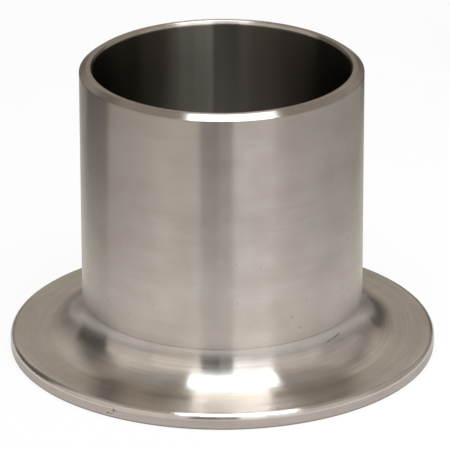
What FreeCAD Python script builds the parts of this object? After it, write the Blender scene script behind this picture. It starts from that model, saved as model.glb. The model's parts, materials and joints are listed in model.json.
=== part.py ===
"""Lap joint stub end: a one-piece stainless steel pipe fitting, DN 50, schedule 10S, short pattern.

A pipe barrel opens at its foot into a flat round lap. A loose backing flange slides down
the barrel and bears on the back of the lap, the underside of the lap carries the gasket,
and the bevelled top of the barrel is butt welded to a pipe.

The frame is in millimetres, with +Z up the barrel and the origin at the centre of the
gasket face. The fitting is turned about +Z from one half section.
"""

import FreeCAD, Part

import math
import os
from collections import namedtuple

# Barrel, the size of the pipe that is welded to it
BARREL_DIAMETER = 60.3
WALL = 2.77
OVERALL_LENGTH = 63.5

# Lap: 92.0 is the standard diameter and 91.2 the least that it allows
LAP_DIAMETER = 91.4
LAP_THICKNESS = 3.4
LAP_FILLET_RADIUS = 7.9
LAP_RIM_RADIUS = 1.25
LAP_FOOT_RADIUS = 0.4

# Eased inner corner at the gasket face, kept small so that the gasket covers it
GASKET_CORNER_EASE = 0.8

# Weld end: from the bore outwards a steep lip, the flat root face and the bevel
LIP_WIDTH = 0.35
LIP_HEIGHT = 0.9
ROOT_FACE = 0.95
BEVEL_ANGLE_DEG = 35.0

# Most of the room beside it that a rounding fills, so that a flat is always left
ROUNDING_SHARE = 0.9

BARREL_RADIUS = BARREL_DIAMETER / 2
BORE_RADIUS = BARREL_RADIUS - WALL
LAP_RADIUS = LAP_DIAMETER / 2

# A corner of the half section, with the radius of the arc that rounds it, or 0 where it is sharp
Corner = namedtuple("Corner", "radius height rounding")


def rounded_by(radius, room):
    """The radius of a rounding, kept within the wall that it lies in."""
    return min(radius, ROUNDING_SHARE * room)


def weld_end_corners():
    """Corners of the weld end, from the top of the barrel's outside over to the bore."""
    bevel_width = WALL - LIP_WIDTH - ROOT_FACE
    bevel_height = bevel_width * math.tan(math.radians(BEVEL_ANGLE_DEG))
    return [
        Corner(BARREL_RADIUS, OVERALL_LENGTH - bevel_height, 0),
        Corner(BARREL_RADIUS - bevel_width, OVERALL_LENGTH, 0),
        Corner(BORE_RADIUS + LIP_WIDTH, OVERALL_LENGTH, 0),
        Corner(BORE_RADIUS, OVERALL_LENGTH - LIP_HEIGHT, 0),
    ]


def lap_corners():
    """Corners of the lap, from the bore's foot out along the gasket face and back to the barrel."""
    ease = rounded_by(GASKET_CORNER_EASE, WALL)
    foot = rounded_by(LAP_FOOT_RADIUS, LAP_THICKNESS / 2)
    rim = rounded_by(LAP_RIM_RADIUS, LAP_THICKNESS - foot)
    fillet = rounded_by(LAP_FILLET_RADIUS, LAP_RADIUS - rim - BARREL_RADIUS)
    return [
        Corner(BORE_RADIUS, ease, 0),
        Corner(BORE_RADIUS + ease, 0, 0),
        Corner(LAP_RADIUS, 0, foot),
        Corner(LAP_RADIUS, LAP_THICKNESS, rim),
        Corner(BARREL_RADIUS, LAP_THICKNESS, fillet),
    ]


def rounding_arc(before, corner, after, radius):
    """Start, middle and end of the tangent arc that rounds a corner, or the sharp corner three times."""
    if not radius:
        return corner, corner, corner
    back = (before - corner).normalize()
    on = (after - corner).normalize()
    half_angle = back.getAngle(on) / 2
    reach = radius / math.tan(half_angle)
    inward = (back + on).normalize()
    centre = corner + inward * (radius / math.sin(half_angle))
    return corner + back * reach, centre - inward * radius, corner + on * reach


def section_face(corners):
    """The half section as one flat face in the XZ plane."""
    points = [FreeCAD.Vector(corner.radius, 0, corner.height) for corner in corners]
    befores = points[-1:] + points[:-1]
    afters = points[1:] + points[:1]
    roundings = [corner.rounding for corner in corners]
    arcs = [rounding_arc(*around) for around in zip(befores, points, afters, roundings)]
    next_arcs = arcs[1:] + arcs[:1]
    edges = []
    for (start, middle, end), (next_start, _, _), rounding in zip(arcs, next_arcs, roundings):
        if rounding:
            edges.append(Part.Arc(start, middle, end).toShape())
        edges.append(Part.LineSegment(end, next_start).toShape())
    return Part.Face(Part.Wire(edges))


def stub_end():
    """The whole fitting, turned from its half section about the pipe's axis."""
    axis_foot = FreeCAD.Vector(0, 0, 0)
    axis_way = FreeCAD.Vector(0, 0, 1)
    section = section_face(lap_corners() + weld_end_corners())
    return section.revolve(axis_foot, axis_way, 360)


def main():
    os.makedirs("parts", exist_ok=True)
    shape = stub_end()
    shape.exportStep("parts/stub_end.step")
    print("stub_end", shape.ShapeType, "valid", shape.isValid(), "volume in cubic mm", round(shape.Volume, 1))


main()
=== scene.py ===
"""Lap joint stub end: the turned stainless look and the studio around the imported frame.

Lengths are metres in the frame of the CAD part, with +Z up the barrel and the origin at
the centre of the gasket face. The camera stands on the -Y side, with +X to its right.
"""

import json
import math

import bmesh
import bpy
from bpy.props import FloatProperty, FloatVectorProperty, IntProperty, PointerProperty
from bpy.types import Operator, Panel, PropertyGroup
from mathutils import Euler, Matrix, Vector


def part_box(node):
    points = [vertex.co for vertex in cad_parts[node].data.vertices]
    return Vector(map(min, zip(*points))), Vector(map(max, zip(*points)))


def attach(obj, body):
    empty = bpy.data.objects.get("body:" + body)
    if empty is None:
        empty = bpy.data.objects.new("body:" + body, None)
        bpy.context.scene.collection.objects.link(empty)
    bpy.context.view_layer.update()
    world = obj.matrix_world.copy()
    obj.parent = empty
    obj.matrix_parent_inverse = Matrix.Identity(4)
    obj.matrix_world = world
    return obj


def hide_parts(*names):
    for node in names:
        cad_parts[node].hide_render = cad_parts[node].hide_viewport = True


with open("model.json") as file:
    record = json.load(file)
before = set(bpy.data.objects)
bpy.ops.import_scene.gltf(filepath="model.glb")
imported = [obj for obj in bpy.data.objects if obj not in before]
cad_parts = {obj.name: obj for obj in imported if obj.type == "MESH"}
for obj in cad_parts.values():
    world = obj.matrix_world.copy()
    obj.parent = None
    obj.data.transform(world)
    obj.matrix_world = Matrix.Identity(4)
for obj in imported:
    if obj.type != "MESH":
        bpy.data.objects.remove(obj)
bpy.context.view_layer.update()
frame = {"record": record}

bl_info = {
    "name": "Lap Joint Stub End",
    "version": (1, 0, 0),
    "blender": (4, 5, 0),
    "location": "3D View > Sidebar > Stub End",
    "description": "Turned stainless stub end on its studio stage",
    "category": "Object",
}

NODE = "stub_end"
PIECE = "turned_stub_end"
FULL_TURN = 2 * math.pi
MILLIMETRE = 0.001

# Sockets of a Mix node that take its two colours and give the mixed one
MIX_FIRST = 6
MIX_SECOND = 7
MIX_RESULT = 2

# Segments of the arc on a rounding: at least so many, so many on one of 1 mm, and the power of
# the radius with which they grow
LEAST_ARC_SEGMENTS = 3
ARC_SEGMENTS = 6
ARC_GROWTH = 0.75

# The steel's colour where it is seen at a grazing angle, and a quarter turn of its grain, which
# sets it round the axis
GRAZING_COLOUR = (0.78, 0.76, 0.73)
QUARTER_TURN = 0.25

# Points of the spun mesh closer than this are one
MERGE_DISTANCE = 1e-7

# The upright lamps: how far off they stand, and the heights of their lower and upper edge
LAMP_DISTANCE = 0.355
LAMP_FOOT = 0.06
LAMP_TOP = 0.35

# The sloping lamps over the part: the low end in front, the place where the first meets the second, the
# high end at the back, and their width and colour
SLOPE_LOW = (0.0335, -0.156, 0.262)
SLOPE_MIDDLE = (0.0335, -0.044, 0.373)
SLOPE_HIGH = (0.0335, 0.47, 0.883)
SLOPE_WIDTH = 0.245
SLOPE_COLOUR = (0.9, 0.95, 1.0)

# How far off the cards stand
CARD_DISTANCE = 0.17

# The sheet: how much wider it gets to either side for each metre to the back, and its reach to
# either side as a share of its reach to the front
SHEET_SPREAD = 0.05
SHEET_FRONT = 0.9
FLOOR_SEGMENTS = 96
SENSOR_WIDTH = 36.0

# How far to the back a line of sight points where the back wall starts and where it is full
BACK_WALL_START = 0.55
BACK_WALL_FULL = 0.8

# Colours of the room from the floor (0) up to straight overhead (1)
BACK_WALL = (
    (0.0, (0.23, 0.223, 0.209, 1.0)),
    (0.12, (0.23, 0.223, 0.209, 1.0)),
    (0.25, (0.346, 0.324, 0.302, 1.0)),
    (0.38, (0.468, 0.425, 0.382, 1.0)),
    (0.55, (0.677, 0.655, 0.598, 1.0)),
    (0.75, (0.346, 0.317, 0.281, 1.0)),
    (1.0, (0.36, 0.367, 0.367, 1.0)))
OTHER_WALLS = (
    (0.0, (0.274, 0.266, 0.252, 1.0)),
    (0.12, (0.288, 0.281, 0.266, 1.0)),
    (0.25, (0.23, 0.216, 0.202, 1.0)),
    (0.38, (0.151, 0.144, 0.137, 1.0)),
    (0.55, (0.151, 0.144, 0.137, 1.0)),
    (0.75, (0.346, 0.317, 0.281, 1.0)),
    (1.0, (0.36, 0.367, 0.367, 1.0)))


def mount(name):
    """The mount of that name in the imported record."""
    return next(m for m in frame["record"]["mounts"] if m["name"] == name)


def mount_radius(name):
    """Radius in metres of a round mount."""
    return mount(name)["dims"]["r_mm"] * MILLIMETRE


NODE_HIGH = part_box(NODE)[1]
LAP_FILLET = 0.0079

# Places along the turned outline, as height less radius. In a pair, a finish is full at the
# first number and gone at the second, and so it is in the pairs of heights and of noise below.
FILLET_TOP_ALONG = mount("lap_back_face")["pos_m"][2] + LAP_FILLET - mount_radius("barrel")
LATHE_CUT = (FILLET_TOP_ALONG - 0.0002, FILLET_TOP_ALONG)
FLAT_MIDDLE_ALONG = -0.0379
FLAT_HALF_WIDTH = (0.002, 0.0031)
OUTER_FACE = (-0.0437, -0.0433)
# The painted shadow along the foot lies outside this place on the lap's outer face
FOOT_SHADOW_OUTSIDE = (-0.0453, -0.0449)
TOOL_LINE_WIDTH = 0.0003

# Heights over the gasket face
OFF_GASKET_FACE = (0.00015, 0.00005)
# The painted shadow along the lap's foot, where it meets the floor
FOOT_SHADOW_HEIGHT = (0.0002, 0.00055)
WELD_END_HEIGHT = (0.0624, 0.0621)

# A painted reflection down the bore, a pale stripe: its right and left edge, and where it ends towards
# the front
BORE_REFLECTION_RIGHT = (-0.0023, -0.0013)
BORE_REFLECTION_LEFT = (-0.008, -0.014)
BORE_REFLECTION_FRONT = (0.006, 0.0)

# The bore's streaks: how little they change down the bore, the shares of noise and of the painted
# reflection in them, and where the paler colour is full and gone
BORE_STREAK_CHANGE = 0.05
BORE_NOISE_SHARE = 0.6
BORE_REFLECTION_SHARE = 0.28
BORE_PALE = (0.66, 0.25)

# Noise of the finish: first its scale per metre, or two scales, round the axis and along the
# outline, where it is drawn out, and then its detail
GROOVES = (45, 1100, 2.0)
FINE_LINES = (60, 1500, 2.0)
BANDS = (25, 260, 4.0)
SMEARS = (140.0, 5.0)
BORE_STREAKS = (170.0, 3.0)
PIT_PATCHES = (60.0, 2.0)
NICK_TICKS = (1500.0, 1.0)
SCRATCH_BREAKS = (500.0, 2.0)

# The tone of the finish: its level, the share of each noise in it, and how strong the grooves
# and fine lines are on the barrel, where 1 is their strength on the fillet and the lap
TONE_LEVEL = 0.24
FINE_LINE_SHARE = 0.28
BAND_SHARE = 0.2
SMEAR_SHARE = 0.32
DRAWN_CUT_STRENGTH = 0.3

# How strongly each finish and mark, and the painted shadow along the foot, covers the steel or changes
# its roughness and depth, and the tones between which tarnish shows
TARNISH_STRENGTH = 0.24
TARNISH_TONE = (0.38, 0.6)
MARK_STRENGTH = 0.75
TOOL_LINE_STRENGTH = 0.2
# Strength of the painted shadow along the foot
FOOT_SHADOW_STRENGTH = 0.8
WELD_END_STRENGTH = 0.6
TONE_ROUGHNESS = 0.05
MARK_ROUGHNESS = 0.1
TOOL_LINE_DEPTH_SHARE = 0.3

# Pits, nicks and the scratch: their sizes, and the noise where each is full and gone
PIT_SPACING = 0.0022
PIT_WIDTH = 0.0005
PIT_STRENGTH = 0.55
PIT_PATCH_NOISE = (0.58, 0.5)
NICK_REACH = (0.001, 0.0017)
NICK_NOISE = (0.66, 0.6)
SCRATCH_WIDTH = 0.00035
SCRATCH_NOISE = (0.56, 0.48)

# Where along the outline the scratch on the fillet starts, and how far it climbs in one radian
SCRATCH_START = -0.0226
SCRATCH_CLIMB = 0.0043


class StubEndSizes(PropertyGroup):
    """Sizes of the half section that the fitting is turned from."""

    lap_radius: FloatProperty(
        name="Lap radius", description="Radius of the lap's outer face",
        default=NODE_HIGH.x, unit="LENGTH", precision=5)
    lap_thickness: FloatProperty(
        name="Lap thickness", description="Height of the lap's back face over the gasket face",
        default=mount("lap_back_face")["pos_m"][2], unit="LENGTH", precision=5)
    barrel_radius: FloatProperty(
        name="Barrel radius", description="Outer radius of the barrel",
        default=mount_radius("barrel"), unit="LENGTH", precision=5)
    bore_radius: FloatProperty(
        name="Bore radius", description="Radius of the bore",
        default=mount_radius("bore"), unit="LENGTH", precision=5)
    length: FloatProperty(
        name="Overall length", description="Height from the gasket face to the root face",
        default=NODE_HIGH.z, unit="LENGTH", precision=5)
    fillet: FloatProperty(
        name="Lap fillet", description="Radius of the fillet between barrel and lap",
        default=LAP_FILLET, unit="LENGTH", precision=5)
    rim_rounding: FloatProperty(
        name="Rim rounding", description="Radius along the upper edge of the lap",
        default=0.00125, unit="LENGTH", precision=5)
    foot_rounding: FloatProperty(
        name="Foot rounding", description="Radius along the lower edge of the lap",
        default=0.0004, unit="LENGTH", precision=5)
    gasket_corner_ease: FloatProperty(
        name="Gasket corner ease", description="Width of the eased inner corner at the gasket face",
        default=0.0008, unit="LENGTH", precision=5)
    lip_width: FloatProperty(
        name="Lip width", description="Width of the steep lip between bore and root face",
        default=0.00035, unit="LENGTH", precision=5)
    lip_height: FloatProperty(
        name="Lip height", description="Height of the steep lip between bore and root face",
        default=0.0009, unit="LENGTH", precision=5)
    root_face: FloatProperty(
        name="Root face", description="Width of the flat ring left at the weld end",
        default=0.00095, unit="LENGTH", precision=5)
    bevel_angle: FloatProperty(
        name="Bevel angle", description="Fall of the weld bevel below the root face",
        default=math.radians(35), subtype="ANGLE")
    edge_break: FloatProperty(
        name="Edge break", description="Radius that takes the burr off each turned corner",
        default=0.00012, unit="LENGTH", precision=5)
    turning_steps: IntProperty(
        name="Turning steps", description="Flats round the whole turn",
        default=320, min=64, max=512)


class SteelFinish(PropertyGroup):
    """Colours and gloss of the turned stainless steel, with painted shade in the bore and along the
    foot.
    """

    turned_colour: FloatVectorProperty(
        name="Turned steel", description="Colour of the freshly turned fillet and lap",
        default=(0.7, 0.652, 0.602), subtype="COLOR", min=0, max=1)
    drawn_colour: FloatVectorProperty(
        name="Drawn steel", description="Colour of the drawn barrel",
        default=(0.65, 0.591, 0.533), subtype="COLOR", min=0, max=1)
    tarnish_colour: FloatVectorProperty(
        name="Tarnish", description="Colour of the faint handling marks",
        default=(0.278, 0.229, 0.18), subtype="COLOR", min=0, max=1)
    # The bore's colours are painted shade, steel darkened for the shade inside the bore; this one is
    # for its paler streaks and its painted reflection
    bore_colour: FloatVectorProperty(
        name="Bore", description="Colour of the paler streaks in the bore",
        default=(0.285, 0.263, 0.225), subtype="COLOR", min=0, max=1)
    edge_colour: FloatVectorProperty(
        name="Cut edges", description="Duller colour of the lap's outer face and the weld end",
        default=(0.465, 0.41, 0.366), subtype="COLOR", min=0, max=1)
    # Painted shade inside the bore, for its darker streaks
    bore_shade: FloatVectorProperty(
        name="Bore shade", description="Colour of the darker streaks in the bore",
        default=(0.173, 0.155, 0.133), subtype="COLOR", min=0, max=1)
    bore_edge: FloatProperty(
        name="Bore edge", description="Radius within which the bore's finish begins",
        default=mount_radius("bore") + 0.00008, unit="LENGTH", precision=5)
    roughness: FloatProperty(
        name="Roughness", description="Roughness of the barrel and of the lap's faces", default=0.26,
        subtype="FACTOR", min=0, max=1)
    fillet_roughness: FloatProperty(
        name="Fillet roughness", description="Roughness of the fillet and of the rounded rim",
        default=0.225, subtype="FACTOR", min=0, max=1)
    bore_roughness: FloatProperty(
        name="Bore roughness", description="Roughness of the drawn bore", default=0.24,
        subtype="FACTOR", min=0, max=1)
    groove_depth: FloatProperty(
        name="Groove depth", description="Depth of the fine turning grooves",
        default=0.00002, unit="LENGTH", precision=7)
    # Also the colour of the painted shadow along the lap's foot
    mark_colour: FloatVectorProperty(
        name="Marks", description="Colour in the bottom of nicks, pits and scratches",
        default=(0.12, 0.11, 0.1), subtype="COLOR", min=0, max=1)
    mark_depth: FloatProperty(
        name="Mark depth", description="Depth of nicks, pits and scratches",
        default=0.00003, unit="LENGTH", precision=6)
    nick_place: FloatVectorProperty(
        name="Nick place", description="Middle of the nicks on the lap's outer face",
        default=(-0.0230, -0.0395, 0.00115), subtype="TRANSLATION", unit="LENGTH")
    scratch_headings: FloatVectorProperty(
        name="Scratch headings",
        description="Where the fillet's scratch starts and ends round the axis",
        default=(math.radians(33), math.radians(56)), size=2, unit="ROTATION")


class StageSettings(PropertyGroup):
    """Floor and camera."""

    sheet_colour: FloatVectorProperty(
        name="Sheet", description="Colour of the white sheet under the part",
        default=(0.93, 0.93, 0.93), subtype="COLOR", min=0, max=1)
    table_colour: FloatVectorProperty(
        name="Table", description="Colour of the table beside and in front of the sheet",
        default=(0.5, 0.49, 0.47), subtype="COLOR", min=0, max=1)
    sheet_white: FloatProperty(
        name="Sheet white",
        description="Share of plain white in the sheet, as the camera and the steel see it",
        default=0.87, subtype="FACTOR", min=0, max=1)
    sheet_edge: FloatProperty(
        name="Sheet edge", description="Reach of the sheet from the pipe's axis to either side",
        default=0.053, unit="LENGTH")
    sheet_fade: FloatProperty(
        name="Sheet fade", description="Width over which the sheet's edge fades into the table",
        default=0.035, unit="LENGTH")
    floor_radius: FloatProperty(
        name="Floor radius", description="Radius of the round floor", default=6.0, unit="LENGTH")
    camera_place: FloatVectorProperty(
        name="Camera place", description="Where the camera stands",
        default=(0.0, -0.8878242, 0.3971602), subtype="TRANSLATION", unit="LENGTH")
    camera_pitch: FloatProperty(
        name="Camera pitch", description="Angle at which the camera looks down",
        default=0.3950, subtype="ANGLE")
    camera_turn: FloatProperty(
        name="Camera turn", description="Angle of the camera to the right of straight ahead",
        default=0.0007, subtype="ANGLE")
    camera_roll: FloatProperty(
        name="Camera roll", description="Tilt of the camera about its own line of sight",
        default=-0.0023, subtype="ANGLE")
    camera_lens: FloatProperty(
        name="Camera lens", description="Focal length on a sensor 36 mm wide",
        default=359.52, subtype="DISTANCE_CAMERA")


class Value:
    """A number on a node's socket, so that shader maths reads as Python."""

    def __init__(self, nodes, socket):
        self.nodes = nodes
        self.socket = socket

    def math(self, operation, *others):
        """A Math node with that operation on this value and the others."""
        return self.nodes.value("ShaderNodeMath", {"operation": operation}, self, *others)

    def __add__(self, other):
        return self.math("ADD", other)

    def __radd__(self, other):
        return self.math("ADD", other)

    def __sub__(self, other):
        return self.math("SUBTRACT", other)

    def __rsub__(self, other):
        return self.nodes.value("ShaderNodeMath", {"operation": "SUBTRACT"}, other, self)

    def __mul__(self, other):
        return self.math("MULTIPLY", other)

    def __rmul__(self, other):
        return self.math("MULTIPLY", other)

    def __pow__(self, other):
        return self.math("POWER", other)


class Nodes:
    """The nodes of one material, light or world."""

    def __init__(self, tree):
        self.tree = tree
        tree.nodes.clear()

    def node(self, kind, settings=None, **inputs):
        """A node of that kind, with its settings made first and its sockets set or linked by name."""
        made = self.tree.nodes.new(kind)
        for name, setting in (settings or {}).items():
            if name == "stops":
                self.set_stops(made.color_ramp, setting)
            else:
                setattr(made, name, setting)
        for name, given in inputs.items():
            self.feed(made.inputs[name.replace("_", " ")], given)
        return made

    def value(self, kind, settings, *inputs):
        """The first output of a node whose sockets are fed in their order."""
        made = self.node(kind, settings)
        for socket, given in zip(made.inputs, inputs):
            self.feed(socket, given)
        return Value(self, made.outputs[0])

    def mix(self, factor, first, second):
        """The colour between two colours or colour outputs."""
        made = self.node("ShaderNodeMix", {"data_type": "RGBA"}, Factor=factor)
        self.feed(made.inputs[MIX_FIRST], first)
        self.feed(made.inputs[MIX_SECOND], second)
        return made.outputs[MIX_RESULT]

    def feed(self, socket, given):
        """Links a value or an output to a socket, or sets the socket's own number or colour."""
        if isinstance(given, Value):
            given = given.socket
        if isinstance(given, bpy.types.NodeSocket):
            self.tree.links.new(given, socket)
        else:
            socket.default_value = given

    def set_stops(self, ramp, stops):
        """Sets a colour ramp's stops from pairs of position and colour."""
        while len(ramp.elements) < len(stops):
            ramp.elements.new(1.0)
        for element, (position, colour) in zip(ramp.elements, stops):
            element.position = position
            element.color = colour


def opaque(colour):
    """A colour with its alpha of 1."""
    return (*colour, 1.0)


class TurnedSurface:
    """Places on the turned outline, and the patterns that its finish is made of."""

    def __init__(self, nodes):
        self.nodes = nodes
        self.place = nodes.node("ShaderNodeTexCoord").outputs["Object"]
        across = nodes.node("ShaderNodeSeparateXYZ", Vector=self.place).outputs
        self.x, self.y, self.height = (Value(nodes, socket) for socket in across)
        self.radius = (self.x * self.x + self.y * self.y) ** 0.5
        self.along = self.height - self.radius

    def noise(self, place, scale, detail):
        """Noise between 0 and 1, most of it near 0.5."""
        made = self.nodes.node("ShaderNodeTexNoise", Vector=place, Scale=scale, Detail=detail)
        return Value(self.nodes, made.outputs[0])

    def drawn_out(self, around, along, detail):
        """Noise drawn out round the axis, as a turning tool leaves it."""
        place = self.nodes.node(
            "ShaderNodeCombineXYZ", X=self.x * around, Y=self.y * around, Z=self.along * along)
        return self.noise(place.outputs[0], 1.0, detail)

    def bore_streaks(self):
        """Streaks that run down the bore, as the drawn pipe has them, with one pale stripe that is a
        painted reflection of a lamp.
        """
        height = self.height * BORE_STREAK_CHANGE
        place = self.nodes.node("ShaderNodeCombineXYZ", X=self.x, Y=self.y, Z=height)
        # A painted reflection: a pale stripe on the bore's far wall
        painted_reflection_band = self.fade(self.x, *BORE_REFLECTION_RIGHT) * self.fade(self.x, *BORE_REFLECTION_LEFT)
        painted_reflection_band = painted_reflection_band * self.fade(self.y, *BORE_REFLECTION_FRONT)
        streaks = self.noise(place.outputs[0], *BORE_STREAKS)
        return streaks * BORE_NOISE_SHARE + BORE_REFLECTION_SHARE * painted_reflection_band

    def fade(self, value, full, none):
        """1 where a value is at full, 0 where it is at none, and smooth between."""
        return self.nodes.value(
            "ShaderNodeMapRange", {"interpolation_type": "SMOOTHSTEP"}, value, full, none, 1.0, 0.0)

    def near(self, middle, full, none):
        """1 within a distance of a point, fading to 0."""
        gap = self.nodes.node("ShaderNodeVectorMath", {"operation": "DISTANCE"})
        self.nodes.feed(gap.inputs[0], self.place)
        self.nodes.feed(gap.inputs[1], middle)
        return self.fade(gap.outputs["Value"], full, none)

    def line(self, along, width):
        """1 on a line round the axis at that place along the outline, softer towards its sides."""
        return self.fade((self.along - along).math("ABSOLUTE"), 0.2 * width, 0.5 * width)

    def pits(self, spacing, width):
        """Small round pits at random, thick in some patches and absent in others."""
        cells = self.nodes.node("ShaderNodeTexVoronoi", Vector=self.place, Scale=1 / spacing)
        share = 0.5 * width / spacing
        dots = self.fade(cells.outputs["Distance"], 0.3 * share, share)
        patches = self.fade(self.noise(self.place, *PIT_PATCHES), *PIT_PATCH_NOISE)
        return PIT_STRENGTH * dots * patches

    def nicks(self, middle):
        """A few short nicks close together."""
        ticks = self.fade(self.noise(self.place, *NICK_TICKS), *NICK_NOISE)
        return ticks * self.near(middle, *NICK_REACH)

    def scratch(self, headings):
        """A broken scratch that climbs the fillet from one heading to another."""
        start, end = headings
        heading = self.x.math("ARCTAN2", 0 - self.y)
        climb = SCRATCH_START + (heading - start) * SCRATCH_CLIMB
        on_line = self.line(climb, SCRATCH_WIDTH)
        from_middle = (heading - 0.5 * (start + end)).math("ABSOLUTE")
        between = self.fade(from_middle, 0.46 * (end - start), 0.5 * (end - start))
        unbroken = self.fade(self.noise(self.place, *SCRATCH_BREAKS), *SCRATCH_NOISE)
        return on_line * between * unbroken


def turned_steel(finish):
    """Stainless steel: a drawn barrel, a turned fillet and lap, and a bore in painted shade with a
    painted reflection, lightly marked, with a painted shadow along the foot.
    """
    material = bpy.data.materials.new("turned_stainless")
    material.use_nodes = True
    nodes = Nodes(material.node_tree)
    surface = TurnedSurface(nodes)

    inside = surface.radius.math("LESS_THAN", finish.bore_edge)
    off_gasket_face = surface.fade(surface.height, *OFF_GASKET_FACE)
    lathe_cut = surface.fade(surface.along, *LATHE_CUT)
    outer_face = surface.fade(surface.along, *OUTER_FACE) * off_gasket_face
    from_flat_middle = (surface.along - FLAT_MIDDLE_ALONG).math("ABSOLUTE")
    on_flat = surface.fade(from_flat_middle, *FLAT_HALF_WIDTH)
    weld_end = WELD_END_STRENGTH * surface.fade(surface.height, *WELD_END_HEIGHT)

    cut_strength = DRAWN_CUT_STRENGTH + (1 - DRAWN_CUT_STRENGTH) * lathe_cut
    grooves = surface.drawn_out(*GROOVES) * cut_strength
    fine_lines = (surface.drawn_out(*FINE_LINES) - 0.5) * cut_strength
    bands = surface.drawn_out(*BANDS)
    smears = surface.noise(surface.place, *SMEARS)
    tone = TONE_LEVEL + FINE_LINE_SHARE * fine_lines + BAND_SHARE * bands + SMEAR_SHARE * smears

    marks = surface.pits(PIT_SPACING, PIT_WIDTH).math("MAXIMUM", surface.nicks(finish.nick_place))
    marks = marks.math("MAXIMUM", surface.scratch(finish.scratch_headings)) * (1 - inside)
    tool_line = surface.line(FILLET_TOP_ALONG, TOOL_LINE_WIDTH) * (1 - inside)
    # A painted shadow: a dark line round the foot of the lap's outer face, where it meets the floor
    painted_foot_shadow = surface.fade(surface.height, *FOOT_SHADOW_HEIGHT)
    painted_foot_shadow = painted_foot_shadow * surface.fade(surface.along, *FOOT_SHADOW_OUTSIDE)

    bare = nodes.mix(lathe_cut, opaque(finish.drawn_colour), opaque(finish.turned_colour))
    bare = nodes.mix(outer_face.math("MAXIMUM", weld_end), bare, opaque(finish.edge_colour))
    tarnish = TARNISH_STRENGTH * surface.fade(tone, *TARNISH_TONE)
    tarnished = nodes.mix(tarnish, bare, opaque(finish.tarnish_colour))
    # The marks, the tool line and the painted shadow along the foot all take the mark colour
    dark = MARK_STRENGTH * marks + TOOL_LINE_STRENGTH * tool_line
    dark = dark.math("MAXIMUM", FOOT_SHADOW_STRENGTH * painted_foot_shadow)
    outside = nodes.mix(dark, tarnished, opaque(finish.mark_colour))
    # Painted shade: the bore takes dark colours, with paler streaks and a painted reflection
    pale = surface.fade(surface.bore_streaks(), *BORE_PALE)
    bore = nodes.mix(pale, opaque(finish.bore_shade), opaque(finish.bore_colour))
    colour = nodes.mix(inside, outside, bore)

    fillet_and_rim = lathe_cut * (1 - on_flat) * off_gasket_face
    smoother = (finish.roughness - finish.fillet_roughness) * fillet_and_rim
    roughness = finish.roughness - smoother + TONE_ROUGHNESS * (tone - 0.5)
    roughness = roughness + MARK_ROUGHNESS * marks
    roughness = roughness + (finish.bore_roughness - finish.roughness) * inside
    depth = finish.mark_depth * marks + TOOL_LINE_DEPTH_SHARE * finish.mark_depth * tool_line
    bump = nodes.node(
        "ShaderNodeBump", Strength=1.0, Distance=1.0,
        Height=finish.groove_depth * grooves - depth)
    steel = nodes.node(
        "ShaderNodeBsdfPrincipled", Base_Color=colour, Metallic=1.0, Roughness=roughness,
        Specular_Tint=opaque(GRAZING_COLOUR), Anisotropic=1.0, Anisotropic_Rotation=QUARTER_TURN,
        Normal=bump.outputs[0])
    nodes.node("ShaderNodeOutputMaterial", Surface=steel.outputs[0])
    return material


def half_section(sizes):
    """Corners of the half section as radius, height and rounding, from the bore's foot outwards."""
    bevel_width = sizes.barrel_radius - sizes.bore_radius - sizes.lip_width - sizes.root_face
    bevel_height = bevel_width * math.tan(sizes.bevel_angle)
    ease = sizes.gasket_corner_ease
    edge = sizes.edge_break
    top = sizes.length
    return [
        (sizes.bore_radius, ease, edge),
        (sizes.bore_radius + ease, 0.0, edge),
        (sizes.lap_radius, 0.0, sizes.foot_rounding),
        (sizes.lap_radius, sizes.lap_thickness, sizes.rim_rounding),
        (sizes.barrel_radius, sizes.lap_thickness, sizes.fillet),
        (sizes.barrel_radius, top - bevel_height, edge),
        (sizes.barrel_radius - bevel_width, top, edge),
        (sizes.bore_radius + sizes.lip_width, top, edge),
        (sizes.bore_radius, top - sizes.lip_height, edge),
    ]


def arc_segments(rounding):
    """Segments of a rounding, more on a larger one."""
    return max(LEAST_ARC_SEGMENTS, round(ARC_SEGMENTS * (rounding / MILLIMETRE) ** ARC_GROWTH))


def turned_mesh(sizes):
    """The whole fitting, its rounded half section spun about the pipe's axis."""
    shape = bmesh.new()
    corners = half_section(sizes)
    points = [shape.verts.new((radius, 0.0, height)) for radius, height, _ in corners]
    shape.faces.new(points)
    for point, (_, _, rounding) in zip(points, corners):
        bmesh.ops.bevel(
            shape, geom=[point], offset=rounding, offset_type="OFFSET", affect="VERTICES",
            segments=arc_segments(rounding), profile=0.5, material=-1)
    section = shape.faces[:]
    bmesh.ops.delete(shape, geom=section, context="FACES_ONLY")
    outline = shape.verts[:] + shape.edges[:]
    bmesh.ops.spin(
        shape, geom=outline, cent=(0, 0, 0), axis=(0, 0, 1), angle=FULL_TURN,
        steps=sizes.turning_steps, use_merge=True, use_duplicate=False)
    bmesh.ops.remove_doubles(shape, verts=shape.verts, dist=MERGE_DISTANCE)
    bmesh.ops.recalc_face_normals(shape, faces=shape.faces)
    for face in shape.faces:
        face.smooth = True
    mesh = bpy.data.meshes.new(PIECE)
    shape.to_mesh(mesh)
    shape.free()
    return mesh


def apply_modifiers(piece):
    """Makes the piece's modifiers part of its mesh, so that none stays live."""
    depsgraph = bpy.context.evaluated_depsgraph_get()
    finished = bpy.data.meshes.new_from_object(
        piece.evaluated_get(depsgraph), preserve_all_data_layers=True, depsgraph=depsgraph)
    finished.name = PIECE
    piece.modifiers.clear()
    piece.data = finished


def link(thing):
    """Puts an object in the scene and gives it back."""
    bpy.context.scene.collection.objects.link(thing)
    return thing


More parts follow.
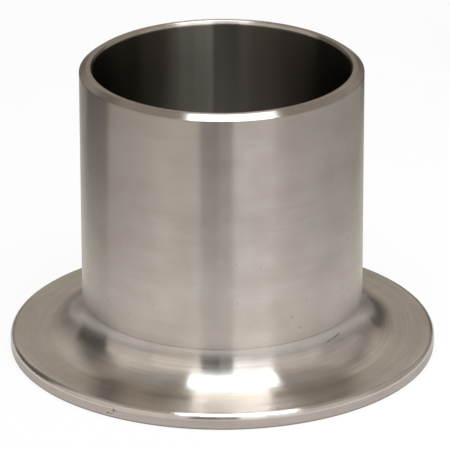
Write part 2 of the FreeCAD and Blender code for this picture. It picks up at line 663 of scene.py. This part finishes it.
class STUBEND_OT_stub_end(Operator):
    """Turn the stub end in bare stainless steel"""

    bl_idname = "stub_end.turn"
    bl_label = "Turn Stub End"

    def execute(self, context):
        piece = link(bpy.data.objects.new(PIECE, turned_mesh(context.scene.stub_end_sizes)))
        crisp = piece.modifiers.new("crisp_corners", "WEIGHTED_NORMAL")
        crisp.weight = 100
        apply_modifiers(piece)
        piece.data.materials.append(turned_steel(context.scene.stub_end_finish))
        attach(piece, "root")
        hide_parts(NODE)
        return {"FINISHED"}


def floor_material(stage):
    """A matt white sheet that runs to the back, on a greyer table."""
    material = bpy.data.materials.new("white_sheet")
    material.use_nodes = True
    nodes = Nodes(material.node_tree)
    place = nodes.node("ShaderNodeTexCoord").outputs["Object"]
    across = nodes.node("ShaderNodeSeparateXYZ", Vector=place).outputs
    to_back = Value(nodes, across["Y"])
    aside = Value(nodes, across["X"]).math("ABSOLUTE") - SHEET_SPREAD * to_back
    reach = aside.math("MAXIMUM", -SHEET_FRONT * to_back)
    fade = nodes.value(
        "ShaderNodeMapRange", {"interpolation_type": "SMOOTHSTEP"}, reach,
        stage.sheet_edge, stage.sheet_edge + stage.sheet_fade, 0.0, 1.0)
    colour = nodes.mix(fade, opaque(stage.sheet_colour), opaque(stage.table_colour))
    matt = nodes.node("ShaderNodeBsdfDiffuse", Color=colour)
    rays = nodes.node("ShaderNodeLightPath").outputs
    seen = Value(nodes, rays["Is Camera Ray"]) + rays["Is Glossy Ray"] + rays["Is Transmission Ray"]
    white = nodes.node("ShaderNodeEmission", Color=opaque((1, 1, 1)), Strength=1.0)
    sheet = nodes.node("ShaderNodeMixShader", Fac=stage.sheet_white * seen * (1 - fade))
    nodes.feed(sheet.inputs[1], matt.outputs[0])
    nodes.feed(sheet.inputs[2], white.outputs[0])
    nodes.node("ShaderNodeOutputMaterial", Surface=sheet.outputs[0])
    return material


def add_floor(stage):
    """A round floor under the gasket face, part of the stage."""
    shape = bmesh.new()
    bmesh.ops.create_circle(
        shape, cap_ends=True, segments=FLOOR_SEGMENTS, radius=stage.floor_radius)
    mesh = bpy.data.meshes.new("floor")
    shape.to_mesh(mesh)
    shape.free()
    mesh.materials.append(floor_material(stage))
    link(bpy.data.objects.new("floor", mesh))


def add_panel_lamp(name, centre, facing, width, height, level, colour):
    """A rectangular lamp of even brightness, unseen by the camera; level 1 shows as white."""
    data = bpy.data.lights.new(name, "AREA")
    data.shape = "RECTANGLE"
    data.size = width
    data.size_y = height
    data.energy = level * math.pi * width * height
    data.color = colour
    lamp = link(bpy.data.objects.new(name, data))
    lamp.location = centre
    lamp.rotation_euler = Vector(facing).to_track_quat("-Z", "Y").to_euler()
    lamp.visible_camera = False


def round_the_object(bearing, distance):
    """The floor point at a bearing in degrees, counted from the camera's side towards the right."""
    angle = math.radians(bearing)
    return Vector((distance * math.sin(angle), -distance * math.cos(angle), 0))


def add_upright_lamp(name, bearings, level, colour):
    """A panel lamp that stands round the object between two bearings and faces it."""
    start, end = (round_the_object(bearing, LAMP_DISTANCE) for bearing in bearings)
    middle = (start + end) / 2
    centre = middle + Vector((0, 0, (LAMP_FOOT + LAMP_TOP) / 2))
    width = (end - start).length
    add_panel_lamp(name, centre, -middle, width, LAMP_TOP - LAMP_FOOT, level, colour)


def add_sloping_lamp(name, low_end, high_end, level):
    """A panel lamp over the object, between a low end and a high end behind it."""
    low, high = Vector(low_end), Vector(high_end)
    along = high - low
    facing = Vector((0, along.z, -along.y))
    centre = (low + high) / 2
    add_panel_lamp(name, centre, facing, SLOPE_WIDTH, along.length, level, SLOPE_COLOUR)


def add_lamps():
    """Soft panels: left, right, and two overhead that rise towards the back."""
    warm, cool, plain = (1.0, 0.95, 0.88), (0.94, 0.97, 1.0), (1, 1, 1)
    add_upright_lamp("left_panel", (-16.6, -55), 0.81, warm)
    add_upright_lamp("far_left_panel", (-55, -97), 0.6, warm)
    add_upright_lamp("right_panel", (8, 22), 1.5, cool)
    add_upright_lamp("near_right_panel", (22, 40), 1.08, plain)
    add_upright_lamp("side_panel", (40, 80), 0.52, warm)
    add_upright_lamp("far_side_panel", (80, 126), 0.3, warm)
    add_sloping_lamp("overhead_panel", SLOPE_LOW, SLOPE_MIDDLE, 6.3)
    add_sloping_lamp("back_strip", SLOPE_MIDDLE, SLOPE_HIGH, 1.95)


def card_material(name, colour):
    """Dull cloth of a card."""
    material = bpy.data.materials.new(name)
    material.use_nodes = True
    nodes = Nodes(material.node_tree)
    cloth = nodes.node("ShaderNodeBsdfDiffuse", Color=opaque(colour))
    nodes.node("ShaderNodeOutputMaterial", Surface=cloth.outputs[0])
    return material


def add_card(name, bearings, height, material):
    """A card that stands on the floor between two bearings, unseen by the camera."""
    start, end = (round_the_object(bearing, CARD_DISTANCE) for bearing in bearings)
    shape = bmesh.new()
    foot = shape.edges.new([shape.verts.new(start), shape.verts.new(end)])
    raised = bmesh.ops.extrude_edge_only(shape, edges=[foot])["geom"]
    top = [part for part in raised if isinstance(part, bmesh.types.BMVert)]
    bmesh.ops.translate(shape, verts=top, vec=(0, 0, height))
    mesh = bpy.data.meshes.new(name)
    shape.to_mesh(mesh)
    shape.free()
    mesh.materials.append(material)
    card = link(bpy.data.objects.new(name, mesh))
    card.visible_camera = False


def add_cards():
    """Dark and grey cards that draw the dark stripes in the steel."""
    dark = card_material("dark_card", (0.08, 0.075, 0.07))
    grey = card_material("grey_card", (0.3, 0.285, 0.27))
    add_card("front_card", (-15.8, -2.1), 0.26, dark)
    add_card("front_edge_card", (-1.7, 7.9), 0.26, grey)
    add_card("left_card", (-94, -128), 0.065, dark)
    add_card("right_card", (140, 160), 0.045, dark)


def wall_ramp(nodes, height, stops):
    """Colours of the room from the floor up, by the height of the line of sight."""
    return nodes.node("ShaderNodeValToRGB", {"stops": stops}, Fac=height).outputs[0]


def add_world():
    """Room light: a pale wall behind the part and dimmer walls and ceiling elsewhere."""
    world = bpy.data.worlds.new("room")
    bpy.context.scene.world = world
    world.use_nodes = True
    nodes = Nodes(world.node_tree)
    direction = nodes.node("ShaderNodeTexCoord").outputs["Generated"]
    across = nodes.node("ShaderNodeSeparateXYZ", Vector=direction).outputs
    behind = nodes.value(
        "ShaderNodeMapRange", {"interpolation_type": "SMOOTHSTEP"}, across["Y"],
        BACK_WALL_START, BACK_WALL_FULL, 0.0, 1.0)
    back_wall = wall_ramp(nodes, across["Z"], BACK_WALL)
    other_walls = wall_ramp(nodes, across["Z"], OTHER_WALLS)
    walls = nodes.mix(behind, other_walls, back_wall)
    room = nodes.node("ShaderNodeBackground", Color=walls, Strength=1.0)
    nodes.node("ShaderNodeOutputWorld", Surface=room.outputs[0])


def add_camera(stage):
    """The camera at the photograph's place and angle."""
    data = bpy.data.cameras.new("camera")
    data.sensor_width = SENSOR_WIDTH
    data.lens = stage.camera_lens
    camera = link(bpy.data.objects.new("camera", data))
    look = Euler((math.pi / 2 - stage.camera_pitch, 0, -stage.camera_turn)).to_matrix()
    roll = Euler((0, 0, stage.camera_roll)).to_matrix()
    camera.rotation_euler = (look @ roll).to_euler()
    camera.location = stage.camera_place
    bpy.context.scene.camera = camera


class STUBEND_OT_stage(Operator):
    """Set up the floor, the soft lamps, the room light and the camera"""

    bl_idname = "stub_end.stage"
    bl_label = "Set Up Stage"

    def execute(self, context):
        stage = context.scene.stub_end_stage
        context.scene.view_settings.view_transform = "Standard"
        add_floor(stage)
        add_lamps()
        add_cards()
        add_world()
        add_camera(stage)
        return {"FINISHED"}


class STUBEND_PT_tools(Panel):
    """Operators and sizes of the stub end"""

    bl_label = "Stub End"
    bl_idname = "STUBEND_PT_tools"
    bl_space_type = "VIEW_3D"
    bl_region_type = "UI"
    bl_category = "Stub End"

    def draw(self, context):
        for group in (context.scene.stub_end_sizes, context.scene.stub_end_finish,
                      context.scene.stub_end_stage):
            for name in group.__annotations__:
                self.layout.prop(group, name)
        self.layout.operator(STUBEND_OT_stub_end.bl_idname)
        self.layout.operator(STUBEND_OT_stage.bl_idname)


CLASSES = (
    StubEndSizes, SteelFinish, StageSettings, STUBEND_OT_stub_end, STUBEND_OT_stage,
    STUBEND_PT_tools)


def register():
    for each in CLASSES:
        bpy.utils.register_class(each)
    bpy.types.Scene.stub_end_sizes = PointerProperty(type=StubEndSizes)
    bpy.types.Scene.stub_end_finish = PointerProperty(type=SteelFinish)
    bpy.types.Scene.stub_end_stage = PointerProperty(type=StageSettings)


def unregister():
    del bpy.types.Scene.stub_end_stage
    del bpy.types.Scene.stub_end_finish
    del bpy.types.Scene.stub_end_sizes
    for each in reversed(CLASSES):
        bpy.utils.unregister_class(each)


def main():
    register()
    bpy.ops.stub_end.turn()
    bpy.ops.stub_end.stage()


if __name__ == "__main__":
    main()
